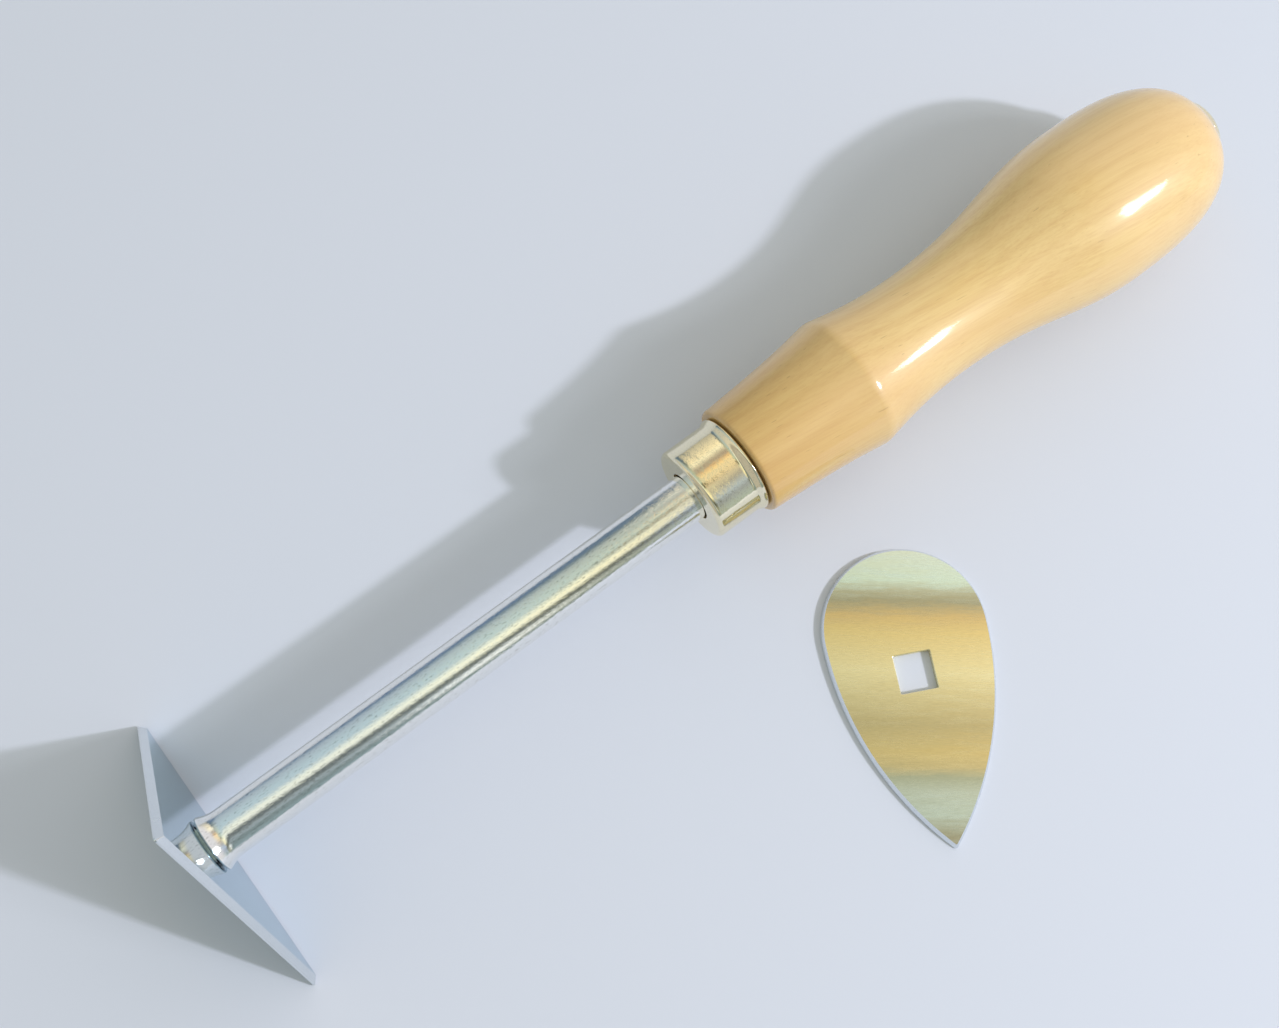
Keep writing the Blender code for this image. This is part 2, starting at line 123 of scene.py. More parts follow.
def add_node(
    tree: NodeTree, kind: str, inputs: dict | None = None, stops: Stops = (), **settings: str
) -> Node:
    """Adds a shader node with its settings and its incoming links.

    Args:
        tree: The node tree that gets the node.
        kind: The node's type without its common prefix.
        inputs: What its inputs hold or are linked to, as feed takes it.
        stops: A colour ramp's stops, as pairs of place and hex colour.
        **settings: The node's other settings.

    Returns:
        The new node.
    """
    node = tree.nodes.new("ShaderNode" + kind)
    for name, value in settings.items():
        setattr(node, name, value)
    if stops:
        elements = node.color_ramp.elements
        while len(elements) < len(stops):
            elements.new(1.0)
        for element, (place, colour) in zip(elements, stops):
            element.position = place
            element.color = linear(colour)
    feed(node, inputs or {})
    return node


def add_spots(
    tree: NodeTree, place: Node | NodeSocket, size: Triple, detail: float, roughness: float = 0.5
) -> Node:
    """Adds a soft random pattern whose spots have a real size.

    Args:
        tree: The material's node tree.
        place: The coordinates that the pattern follows.
        size: A spot's size along X, Y and Z.
        detail: How many finer layers the pattern has.
        roughness: How strong those layers are.

    Returns:
        The pattern's node.
    """
    scale = tuple(1 / length for length in size)
    space = add_node(tree, "Mapping", {"Vector": place, "Scale": scale})
    look = {"Vector": space, "Scale": 1.0, "Detail": detail, "Roughness": roughness}
    return add_node(tree, "TexNoise", look)


def lay_over(
    tree: NodeTree,
    base: Node,
    colour: str | Node,
    value: Node | NodeSocket,
    rise: Pair,
    most: float = 1.0,
    blend: str = "MIX",
) -> Node:
    """Lays a colour over another, more and more as a value passes from one bound to the next.

    Args:
        tree: The node tree.
        base: The colour below.
        colour: The colour on top.
        value: The value that says how much of it shows.
        rise: Where it starts to show and where it shows most.
        most: Its share there.
        blend: How the colours mix, in the node's own word.

    Returns:
        The node that gives the mixed colour.
    """
    bounds = {"Value": value, "From Min": rise[0], "From Max": rise[1], "To Max": most}
    share = add_node(tree, "MapRange", bounds)
    mix = {"Fac": share, "Color1": base, "Color2": colour}
    return add_node(tree, "MixRGB", mix, blend_type=blend)


def new_material(name: str) -> tuple[Material, NodeTree, Node]:
    """Starts a material.

    Args:
        name: What the material is.

    Returns:
        The material, its node tree and its main shader.
    """
    material = bpy.data.materials.new(name)
    material.use_nodes = True
    return material, material.node_tree, material.node_tree.nodes["Principled BSDF"]


@dataclass(frozen=True)
class LacqueredBeech:
    """Steamed beech, turned and sanded, under clear gloss lacquer.

    Turning cuts through the growth rings, so they show as soft long bands. Short dark rays lie
    among fine fibres, and painted shade makes the wood a little browner toward the ferrule. The
    lacquer's film gives one sharp highlight over the soft wood. Spots are sized along the grain
    and then across it, and a rise is where a pattern starts to show and where it shows most.
    """

    pale: str = "#EACB89"
    honey: str = "#E6C582"
    late_wood: str = "#DEB978"
    rosy: str = "#E8C388"
    ray: str = "#A9844C"
    # Painted shade: multiplied over the wood, darker and browner toward the ferrule end.
    ferrule_end_shade: str = "#E6DBC4"
    ring_spacing: float = 3.4 * MM
    pith: Pair = (31 * MM, -24 * MM)
    pith_tilt: float = math.radians(1.6)
    grain_turn: float = math.radians(-7)
    fibre: Triple = (13 * MM, 0.5 * MM, 0.5 * MM)
    fibre_share: float = 0.62
    fibre_relief: float = 0.008 * MM
    rosy_patch: Triple = (72 * MM, 12 * MM, 12 * MM)
    rosy_rise: Pair = (0.42, 0.68)
    rosy_share: float = 0.5
    ray_size: Triple = (3.4 * MM, 0.34 * MM, 0.34 * MM)
    ray_rise: Pair = (0.8, 0.87)
    ray_share: float = 0.4
    ferrule_end_shade_stretch: Pair = (172 * MM, 122 * MM)
    wood_roughness: float = 0.5
    lacquer_roughness: float = 0.1

    def material(self) -> Material:
        """Builds the material and returns it."""
        material, tree, shader = new_material("gloss_lacquered_beech")
        place = add_node(tree, "TexCoord").outputs["Object"]
        run = {"Vector": place, "Rotation": (0.0, 0.0, self.grain_turn)}
        grain = add_node(tree, "Mapping", run, vector_type="TEXTURE")
        heart = {
            "Vector": grain,
            "Location": (0.0, self.pith[0], self.pith[1] - AXIS_Z),
            "Rotation": (0.0, self.pith_tilt, -self.pith_tilt),
        }
        growth = {
            "Vector": add_node(tree, "Mapping", heart),
            "Scale": WAVE_SPACING / self.ring_spacing,
            "Distortion": 1.6,
            "Detail": 2.0,
            "Detail Scale": 0.25,
            "Detail Roughness": 0.5,
        }
        rings = add_node(tree, "TexWave", growth, wave_type="RINGS", rings_direction="X")
        ring_stops = ((0.0, self.late_wood), (0.35, self.honey), (0.8, self.pale), (1.0, self.pale))
        ringed = add_node(tree, "ValToRGB", {0: rings.outputs["Fac"]}, ring_stops)
        fibres = add_spots(tree, grain, self.fibre, 3.0, 0.7)
        fibre_stops = ((0.36, self.late_wood), (0.5, self.honey), (0.64, self.pale))
        fibrous = add_node(tree, "ValToRGB", {0: fibres}, fibre_stops)
        mix = {"Fac": self.fibre_share, "Color1": ringed, "Color2": fibrous}
        wood = add_node(tree, "MixRGB", mix)
        patches = add_spots(tree, grain, self.rosy_patch, 1.0, 0.4)
        wood = lay_over(tree, wood, self.rosy, patches, self.rosy_rise, self.rosy_share)
        rays = add_spots(tree, grain, self.ray_size, 0.0)
        wood = lay_over(tree, wood, self.ray, rays, self.ray_rise, self.ray_share)
        station = add_node(tree, "SeparateXYZ", {0: place}).outputs["X"]
        # Painted shade, browner toward the ferrule end.
        wood = lay_over(tree, wood, self.ferrule_end_shade, station, self.ferrule_end_shade_stretch, blend="MULTIPLY")
        relief = {"Height": fibres, "Strength": 0.35, "Distance": self.fibre_relief}
        finish = {
            "Base Color": wood,
            "Normal": add_node(tree, "Bump", relief),
            "Roughness": self.wood_roughness,
            "Coat Weight": 1.0,
            "Coat Roughness": self.lacquer_roughness,
        }
        feed(shader, finish)
        return material


@dataclass(frozen=True)
class BrightSteel:
    """Drawn, turned or polished steel, bright by itself or under plate.

    It is a mirror, but the marks of the steel break reflections up into fine flecks that run the
    way it was worked, and their edges waver where the surface is not quite even.
    """

    name: str
    lay: Lay = Lay.EVEN
    bright: str = "#F5F5F3"
    dull: str = "#D6D6D2"
    fleck: float = 0.32 * MM
    fleck_relief: float = 0.006 * MM
    ripple: float = 2.2 * MM
    ripple_relief: float = 0.012 * MM
    cloud: float = 5 * MM
    least_roughness: float = 0.04
    most_roughness: float = 0.09

    def material(self) -> Material:
        """Builds the material and returns it."""
        material, tree, shader = new_material(self.name)
        place = add_node(tree, "TexCoord").outputs["Object"]
        fleck_size = tuple(self.fleck / closeness for closeness in self.lay.value)
        flecks = add_spots(tree, place, fleck_size, 3.0, 0.65)
        tint = add_node(tree, "ValToRGB", {0: flecks}, ((0.31, self.dull), (0.44, self.bright)))
        cloudy = {"Vector": place, "Scale": 1 / self.cloud, "Detail": 2.0}
        haze = {
            "Value": add_node(tree, "TexNoise", cloudy),
            "From Min": 0.35,
            "From Max": 0.7,
            "To Min": self.least_roughness,
            "To Max": self.most_roughness,
        }
        uneven = {"Vector": place, "Scale": 1 / self.ripple, "Detail": 1.0}
        ripples = add_node(tree, "TexNoise", uneven)
        wave = add_node(tree, "Bump", {"Height": ripples, "Distance": self.ripple_relief})
        relief = {"Height": flecks, "Distance": self.fleck_relief, "Normal": wave}
        finish = {
            "Base Color": tint,
            "Roughness": add_node(tree, "MapRange", haze),
            "Normal": add_node(tree, "Bump", relief),
            "Metallic": 1.0,
        }
        feed(shader, finish)
        return material


@dataclass(frozen=True)
class SatinBladeSteel:
    """Rolled spring steel, hardened and then rubbed to a satin across the blade.

    Its base colour holds painted reflections: soft bands of straw between whiter steel, lying
    across the blade as a room's light would, and painted light makes it a little brighter toward
    one side. The fine scratches run with the bands, so the bands' edges are streaky and
    highlights are drawn out lengthwise.
    """

    centre: Vector
    turn: float
    # Painted reflection: straw and whiter bands of a room's light, laid into the base colour.
    bands: Stops = (
        (0.0, "#AFA48C"), (0.05, "#BBBCAA"), (0.12, "#D2E2DE"), (0.19, "#D2DFD8"),
        (0.235, "#C2C9B6"), (0.27, "#DED1A5"), (0.315, "#E6D5A0"), (0.405, "#D2C79E"),
        (0.58, "#F9F2C8"), (0.71, "#F1E0A8"), (0.765, "#E3CE9C"), (0.815, "#B6B6A0"),
        (0.85, "#C8CEBD"), (0.885, "#E1F9F5"), (1.0, "#E8FAFA"),
    )
    band_from: float = -36.5 * MM
    band_to: float = 26.5 * MM
    half_width: float = 16 * MM
    # Painted light: the colour is scaled from 0.95 to 1.05 across the blade, brighter toward one
    # side.
    painted_side_light: Pair = (0.95, 1.05)
    scratch: Triple = (1.6 * MM, 0.25 * MM, 0.25 * MM)
    scratch_tones: Pair = (0.94, 1.04)
    scratch_relief: float = 0.004 * MM
    streak: Triple = (11 * MM, 1.3 * MM, 1000 * MM)
    streak_shift: float = 1.7 * MM
    streak_roughness: Pair = (0.22, 0.3)
    pattern_range: Pair = (0.3, 0.7)

    def material(self) -> Material:
        """Builds the material and returns it."""
        material, tree, shader = new_material("satin_steel_with_painted_reflections")
        place = add_node(tree, "TexCoord").outputs["Object"]
        across = {"Vector": place, "Location": self.centre, "Rotation": (0.0, 0.0, self.turn)}
        own = add_node(tree, "Mapping", across, vector_type="TEXTURE")
        spot = add_node(tree, "SeparateXYZ", {0: own})
        scratches = add_spots(tree, own, self.scratch, 2.0, 0.55)
        streaks = add_spots(tree, own, self.streak, 4.0, 0.7)
        shift = {0: streaks, 1: 2 * self.streak_shift, 2: spot.outputs["Y"]}
        shifted = add_node(tree, "Math", shift, operation="MULTIPLY_ADD")
        band_ends = (self.band_from + self.streak_shift, self.band_to + self.streak_shift)
        sides = (-self.half_width, self.half_width)
        scaled = []
        for value, given, wanted in (
            (shifted, band_ends, (0.0, 1.0)),
            (scratches, self.pattern_range, self.scratch_tones),
            (spot.outputs["X"], sides, self.painted_side_light),
            (streaks, self.pattern_range, self.streak_roughness),
        ):
            bounds = {"Value": value, "From Min": given[0], "From Max": given[1]}
            bounds |= {"To Min": wanted[0], "To Max": wanted[1]}
            scaled.append(add_node(tree, "MapRange", bounds))
        share, scratched, side_light_scale, dullness = scaled
        # The painted reflection bands.
        painted_band_colour = add_node(tree, "ValToRGB", {0: share}, self.bands)
        tone = add_node(tree, "Math", {0: scratched, 1: side_light_scale}, operation="MULTIPLY")
        toned = add_node(tree, "VectorMath", {0: painted_band_colour, "Scale": tone}, operation="SCALE")
        relief = {"Height": scratches, "Strength": 0.5, "Distance": self.scratch_relief}
        finish = {
            "Base Color": toned,
            "Roughness": dullness,
            "Normal": add_node(tree, "Bump", relief),
            "Metallic": 1.0,
        }
        feed(shader, finish)
        return material


class Profile:
    """A line drawn beside the tool's axis, to be spun into a turned piece."""

    HOLD = 0.5 * MM  # how near its ends a long straight stretch gets its extra points
    LONG = 2.0 * MM  # what counts as long

    def __init__(self, x: float, radius: float) -> None:
        """Starts the line at a station along the axis and a radius."""
        self.points: list[Pair] = [(x, radius)]

    def line(self, x: float, radius: float) -> "Profile":
        """Draws on straight to a point and returns the profile.

        Long lines get a point near each end, so that smooth shading stays true between them.

        Args:
            x: The point's station.
            radius: Its radius.

        Returns:
            The profile.
        """
        start = Vector(self.points[-1])
        run = Vector((x, radius)) - start
        if run.length > self.LONG:
            step = run.normalized() * self.HOLD
            self.points += [tuple(start + step), tuple(start + run - step)]
        self.points.append((x, radius))
        return self

    def arc(self, centre: Pair, degrees: float, steps: int, squash: float = 1.0) -> "Profile":
        """Swings the pen about a centre, from where it is.

        Args:
            centre: The station and radius of the arc's centre.
            degrees: How far to swing: clockwise, seen with the axis running right, is negative.
            steps: How many chords the arc has.
            squash: The arc's size along the axis as a share of its size across it.

        Returns:
            The profile.
        """
        x, radius = self.points[-1]
        arm = Vector(((x - centre[0]) / squash, radius - centre[1]))
        for step in range(1, steps + 1):
            turned = arm.copy()
            turned.rotate(Matrix.Rotation(math.radians(degrees * step / steps), 2))
            self.points.append((centre[0] + turned.x * squash, centre[1] + turned.y))
        return self

    def sweep(self, slopes: Pair, end: Pair, steps: int, holds: Pair = (0.36, 0.36)) -> "Profile":
        """Draws an S or C curve that leaves and arrives at given slopes.

        Args:
            slopes: Rise over run at the start and the end.
            end: The station and radius where the curve ends.
            steps: How many chords it has.
            holds: How far each slope holds, as a share of the run.

        Returns:
            The profile.
        """
        start = self.points[-1]
        run = end[0] - start[0]
        leave = (start[0] + run * holds[0], start[1] + run * holds[0] * slopes[0])
        arrive = (end[0] - run * holds[1], end[1] - run * holds[1] * slopes[1])
        knots = [Vector((x, radius, 0)) for x, radius in (start, leave, arrive, end)]
        self.points += [(p[0], p[1]) for p in geometry.interpolate_bezier(*knots, steps + 1)[1:]]
        return self

    def turned(self, steps: int, closed: bool) -> BMesh:
        """Spins the line round the tool's axis.

        Args:
            steps: How many facets go round.
            closed: Whether the line runs back to its start.

        Returns:
            The turned shape.
        """
        shape = bmesh.new()
        verts = [shape.verts.new((x, 0.0, AXIS_Z + radius)) for x, radius in self.points]
        sides = list(zip(verts, verts[1:])) + ([(verts[-1], verts[0])] if closed else [])
        for start, end in sides:
            shape.edges.new((start, end))
        bmesh.ops.spin(
            shape,
            geom=shape.verts[:] + shape.edges[:],
            cent=AXIS_POINT,
            axis=(1, 0, 0),
            angle=FULL_TURN,
            steps=steps,
            use_merge=True,
        )
        bmesh.ops.remove_doubles(shape, verts=shape.verts, dist=MEETING_SLACK)
        bmesh.ops.recalc_face_normals(shape, faces=shape.faces)
        return shape


def bevel(
    shape: BMesh,
    parts: list,
    width: float,
    segments: int,
    affect: str = "EDGES",
    clamp: bool = False,
) -> None:
    """Rounds some edges or corners of a shape.

    Args:
        shape: The shape to change.
        parts: The edges, or the corners' vertices.
        width: The rounding's width.
        segments: How many facets the rounding has.
        affect: Which of the two the parts are, in the operator's own word.
        clamp: Whether the rounding is made narrower where it would overlap.
    """
    bmesh.ops.bevel(
        shape,
        geom=parts,
        offset=width,
        offset_type="OFFSET",
        segments=segments,
        profile=0.5,
        affect=affect,
        clamp_overlap=clamp,
        material=-1,
    )


def ease_edges(
    shape: BMesh,
    width: float,
    segments: int,
    least_angle: float,
    station: float | None = None,
) -> None:
    """Rounds the sharp edges of a shape.

    Args:
        shape: The shape to change.
        width: The rounding's width.
        segments: How many facets the rounding has.
        least_angle: The edges that turn less than this, in degrees, are left as they are.
        station: Where along the axis the edges lie, where only those are rounded.
    """
    sharp = [
        edge
        for edge in shape.edges
        if len(edge.link_faces) == 2
        and edge.calc_face_angle(0) > math.radians(least_angle)
        and (station is None or lies_at(edge, station))
    ]
    bevel(shape, sharp, width, segments, clamp=True)


def lies_at(edge: BMEdge, x: float) -> bool:
    """Whether both ends of an edge lie at a station along the axis."""
    return all(abs(vert.co.x - x) < MEETING_SLACK for vert in edge.verts)


def extrude_rim(shape: BMesh, rim: list[BMEdge], move: Triple) -> list[BMEdge]:
    """Draws walls out from a rim of edges.

    Args:
        shape: The shape to change.
        rim: The edges to start from.
        move: Where the far rim lies from the first.

    Returns:
        The far rim's edges.
    """
    drawn = bmesh.ops.extrude_edge_only(shape, edges=rim)["geom"]
    verts = [part for part in drawn if isinstance(part, BMVert)]
    bmesh.ops.translate(shape, vec=move, verts=verts)
    return [part for part in drawn if isinstance(part, BMEdge)]


def swing(centre: Vector, radius: float, start: float, end: float, steps: int) -> list[Vector]:
    """Points along a flat arc, both ends included.

    Args:
        centre: The arc's centre.
        radius: Its radius.
        start: The first point's direction from the centre, in degrees.
        end: The last point's direction.
        steps: How many chords the arc has.

    Returns:
        The points in order.
    """
    points = []
    for step in range(steps + 1):
        angle = math.radians(start + (end - start) * step / steps)
        points.append(centre + radius * Vector((math.cos(angle), math.sin(angle))))
    return points


def show_piece(
    name: str, shape: BMesh, materials: list[Material], body: Body
) -> Object:
    """Makes a shape a piece that stands for the CAD node of its name.

    Args:
        name: The piece's name without its ending, which is the CAD node's name.
        shape: The finished shape, in place.
        materials: Its materials, in the order of its faces' numbers.
        body: The body it rides on.

    Returns:
        The piece.
    """
    mesh = bpy.data.meshes.new(name)
    shape.to_mesh(mesh)
    shape.free()
    mesh.set_sharp_from_angle(angle=SHARP_ANGLE)
    for polygon in mesh.polygons:
        polygon.use_smooth = max(abs(part) for part in polygon.normal) < SQUARE_SHARE
    for material in materials:
        mesh.materials.append(material)
    piece = bpy.data.objects.new(name + "_dressed", mesh)
    bpy.context.scene.collection.objects.link(piece)
    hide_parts(name)
    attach(piece, body.value)
    log.info("%s: %d faces on %s", piece.name, len(mesh.polygons), body.value)
    return piece


@dataclass
class Handle:
    """The turned wood handle: tenon, cone up to a sanded ridge, cove, swell and rounded butt."""

    wood: Material
    tenon_radius: float = 9.1 * MM
    tenon_chamfer: float = 0.8 * MM
    front_radius: float = 12.2 * MM
    front_round: float = 0.8 * MM
    cone_length: float = 28.3 * MM
    cone_slopes: Pair = (0.07, 0.17)
    ridge_radius: float = 15.0 * MM
    ridge_round: float = 0.9 * MM
    edge_round: float = 0.35 * MM
    cove_length: float = 21.9 * MM
    cove_slopes: Pair = (-0.21, 0.0)
    waist_radius: float = 12.5 * MM
    swell_length: float = 44.9 * MM
    swell_holds: Pair = (0.48, 0.36)
    butt_length: float = 31.5 * MM
    butt_roundness: float = 2.8
    butt_steps: int = 30
    socket_radius: float = 5.3 * MM
    socket_end_x: float = 130.15 * MM
    tang_bore_radius: float = 3.3 * MM
    pocket_radius: float = 4.6 * MM
    pocket_depth: float = 10.3 * MM
    least_angle: float = 16
    steps: int = 144

    def build(self) -> Object:
        """Turns the handle and returns the piece."""
        low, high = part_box("handle")
        bulb_radius = (high.z - low.z) / 2
        front_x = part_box("ferrule")[1].x + SEAT_GAP
        ridge_x = front_x + self.cone_length
        waist_x = ridge_x + self.cove_length
        bulb_x = waist_x + self.swell_length
        pocket_x = high.x - self.pocket_depth
        pen = Profile(low.x, self.tenon_radius - self.tenon_chamfer)
        pen.line(low.x + self.tenon_chamfer, self.tenon_radius).line(front_x, self.tenon_radius)
        pen.line(front_x, self.front_radius - self.front_round)
        pen.arc((front_x + self.front_round, self.front_radius - self.front_round), -90, steps=6)
        pen.sweep(self.cone_slopes, (ridge_x, self.ridge_radius), steps=22)
        pen.sweep(self.cove_slopes, (waist_x, self.waist_radius), steps=22)
        pen.sweep((0.0, 0.0), (bulb_x, bulb_radius), steps=30, holds=self.swell_holds)
        self.draw_butt(pen, bulb_x, bulb_radius, high.x)
        pen.line(high.x, self.pocket_radius).line(pocket_x, self.pocket_radius)
        pen.line(pocket_x, self.tang_bore_radius).line(self.socket_end_x, self.tang_bore_radius)
        pen.line(self.socket_end_x, self.socket_radius).line(low.x, self.socket_radius)
        shape = pen.turned(self.steps, closed=True)
        ease_edges(shape, self.ridge_round, 4, self.least_angle, station=ridge_x)
        ease_edges(shape, self.edge_round, 3, self.least_angle)
        return show_piece("handle", shape, [self.wood], Body.HANDLE)

    def draw_butt(self, pen: Profile, bulb_x: float, bulb_radius: float, rear_x: float) -> None:
        """Draws the rounded butt, a superellipse cut off flat where the nut seats.

        Args:
            pen: The profile to draw on.
            bulb_x: The station of the widest part.
            bulb_radius: The radius there.
            rear_x: The station of the flat end.
        """
        share = (rear_x - bulb_x) / self.butt_length
        last = math.acos(share ** (self.butt_roundness / 2))
        for step in range(1, self.butt_steps + 1):
            angle = math.pi / 2 - (math.pi / 2 - last) * step / self.butt_steps
            reach = self.butt_length * math.cos(angle) ** (2 / self.butt_roundness)
            pen.line(bulb_x + reach, bulb_radius * math.sin(angle) ** (2 / self.butt_roundness))


@dataclass
class ButtNut:
    """The domed nut at the handle's end, with the sleeve that takes the tang."""

    plate: Material
    sleeve_length: float = 10.0 * MM
    sleeve_radius: float = 4.3 * MM
    bore_radius: float = 3.3 * MM
    bore_past_seat: float = 0.8 * MM
    rim: float = 0.6 * MM
    edge_round: float = 0.15 * MM
    steps: int = 72

    def build(self) -> Object:
        """Turns the nut and returns the piece."""
        low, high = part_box("butt_nut")
        head_radius = (high.z - low.z) / 2
        seat_x = low.x + self.sleeve_length
        bore_x = seat_x + self.bore_past_seat
        dome = high.x - seat_x - self.rim
        pen = Profile(low.x, self.bore_radius)
        pen.line(low.x, self.sleeve_radius).line(seat_x, self.sleeve_radius)
        pen.line(seat_x, head_radius).line(seat_x + self.rim, head_radius)
        pen.arc((seat_x + self.rim, 0.0), -90, steps=16, squash=dome / head_radius)
        pen.line(bore_x, 0.0).line(bore_x, self.bore_radius)
        shape = pen.turned(self.steps, closed=True)
        ease_edges(shape, self.edge_round, 2, least_angle=35)
        return show_piece("butt_nut", shape, [self.plate], Body.HANDLE)


@dataclass
class Ferrule:
    """The drawn cup on the tenon, with a hole in its flat face and a flared lip at the wood."""

    plate: Material
    radius: float = 10.2 * MM
    wall: float = 0.8 * MM
    face_thickness: float = 1.0 * MM
    front_round: float = 1.0 * MM
    hole_radius: float = 5.4 * MM
    lip_length: float = 2.2 * MM
    lip_round: float = 0.4 * MM
    edge_round: float = 0.12 * MM
    steps: int = 112

    def build(self) -> Object:
        """Turns the ferrule and returns the piece."""
        low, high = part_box("ferrule")
        lip_radius = (high.z - low.z) / 2
        lip_x = high.x - self.lip_round
        inner_radius = self.radius - self.wall
        inner_x = low.x + self.face_thickness
        pen = Profile(low.x, self.hole_radius)
        pen.line(low.x, self.radius - self.front_round)
        pen.arc((low.x + self.front_round, self.radius - self.front_round), -90, steps=10)
        pen.line(high.x - self.lip_length, self.radius)
        pen.sweep((0.0, 0.0), (lip_x, lip_radius), steps=12)
        pen.arc((lip_x, lip_radius - self.lip_round), -90, steps=6)
        pen.line(high.x, inner_radius).line(inner_x, inner_radius).line(inner_x, self.hole_radius)
        shape = pen.turned(self.steps, closed=True)
        ease_edges(shape, self.edge_round, 2, least_angle=40)
        return show_piece("ferrule", shape, [self.plate], Body.HANDLE)


@dataclass
class Shank:
    """The plated rod: square spigot with a tapped hole, flared collar, rod, shoulder and tang."""

    plate: Material
    seat_x: float = 1.65 * MM
    spigot_side: float = 7.4 * MM
    spigot_corner: float = 0.4 * MM
    collar_radius: float = 5.9 * MM
    collar_round: float = 0.3 * MM
    collar_rim: float = 0.35 * MM
    collar_flare: float = 3.65 * MM
    rod_radius: float = 5.0 * MM
    rod_end_x: float = 129.85 * MM
    shoulder_chamfer: float = 0.5 * MM
    tang_radius: float = 3.0 * MM
    tang_chamfer: float = 0.6 * MM
    hole_radius: float = 2.7 * MM
    hole_end_x: float = 12.25 * MM
    hole_steps: int = 48
    edge_round: float = 0.14 * MM
    steps: int = 96

    def build(self) -> Object:
        """Turns the rod, draws the spigot out of its face and returns the piece."""
        low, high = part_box("shank")
        flat_radius = self.collar_radius - self.collar_round
        pen = Profile(self.seat_x, flat_radius)
        pen.arc((self.seat_x + self.collar_round, flat_radius), -90, steps=5)
        pen.line(self.seat_x + self.collar_rim, self.collar_radius)
        slope = -2 * (self.collar_radius - self.rod_radius) / self.collar_flare
        flare_end = (self.seat_x + self.collar_rim + self.collar_flare, self.rod_radius)
        pen.sweep((slope, 0.0), flare_end, steps=12)
        pen.line(self.rod_end_x - self.shoulder_chamfer, self.rod_radius)
        pen.line(self.rod_end_x, self.rod_radius - self.shoulder_chamfer)
        pen.line(self.rod_end_x, self.tang_radius)
        pen.line(high.x - self.tang_chamfer, self.tang_radius)
        pen.line(high.x, self.tang_radius - self.tang_chamfer).line(high.x, 0.0)
        shape = pen.turned(self.steps, closed=False)
        collar_rim = [edge for edge in shape.edges if lies_at(edge, self.seat_x)]
        square = self.square_rim(shape)
        bmesh.ops.triangle_fill(shape, edges=collar_rim + square, use_beauty=True)
        front = extrude_rim(shape, square, (low.x - self.seat_x, 0, 0))
        place = Matrix.Translation((low.x, 0, AXIS_Z)) @ Matrix.Rotation(math.pi / 2, 4, "Y")
        circle = bmesh.ops.create_circle(
            shape, cap_ends=False, radius=self.hole_radius, segments=self.hole_steps, matrix=place
        )
        hole = list({edge for vert in circle["verts"] for edge in vert.link_edges})
        bmesh.ops.triangle_fill(shape, edges=front + hole, use_beauty=True)
        bottom = extrude_rim(shape, hole, (self.hole_end_x - low.x, 0, 0))
        bmesh.ops.contextual_create(shape, geom=bottom)
        bmesh.ops.recalc_face_normals(shape, faces=shape.faces)
        ease_edges(shape, self.edge_round, 2, least_angle=40)
        return show_piece("shank", shape, [self.plate], Body.HANDLE)

    def square_rim(self, shape: BMesh) -> list[BMEdge]:
        """Adds the spigot's square outline on the collar's face.

        Args:
            shape: The rod's shape, which gets the outline.

        Returns:
            The outline's edges.
        """
        half = self.spigot_side / 2
        corners = [
            shape.verts.new((self.seat_x, y, AXIS_Z + z))
            for y, z in ((-half, -half), (half, -half), (half, half), (-half, half))
        ]
        shape.faces.new(corners)
        bevel(shape, corners, self.spigot_corner, 4, affect="VERTICES")
        outline = [f for f in shape.faces if all(len(edge.link_faces) == 1 for edge in f.edges)]
        edges = list(outline[0].edges)
        bmesh.ops.delete(shape, geom=[outline[0]], context="FACES_ONLY")
        return edges


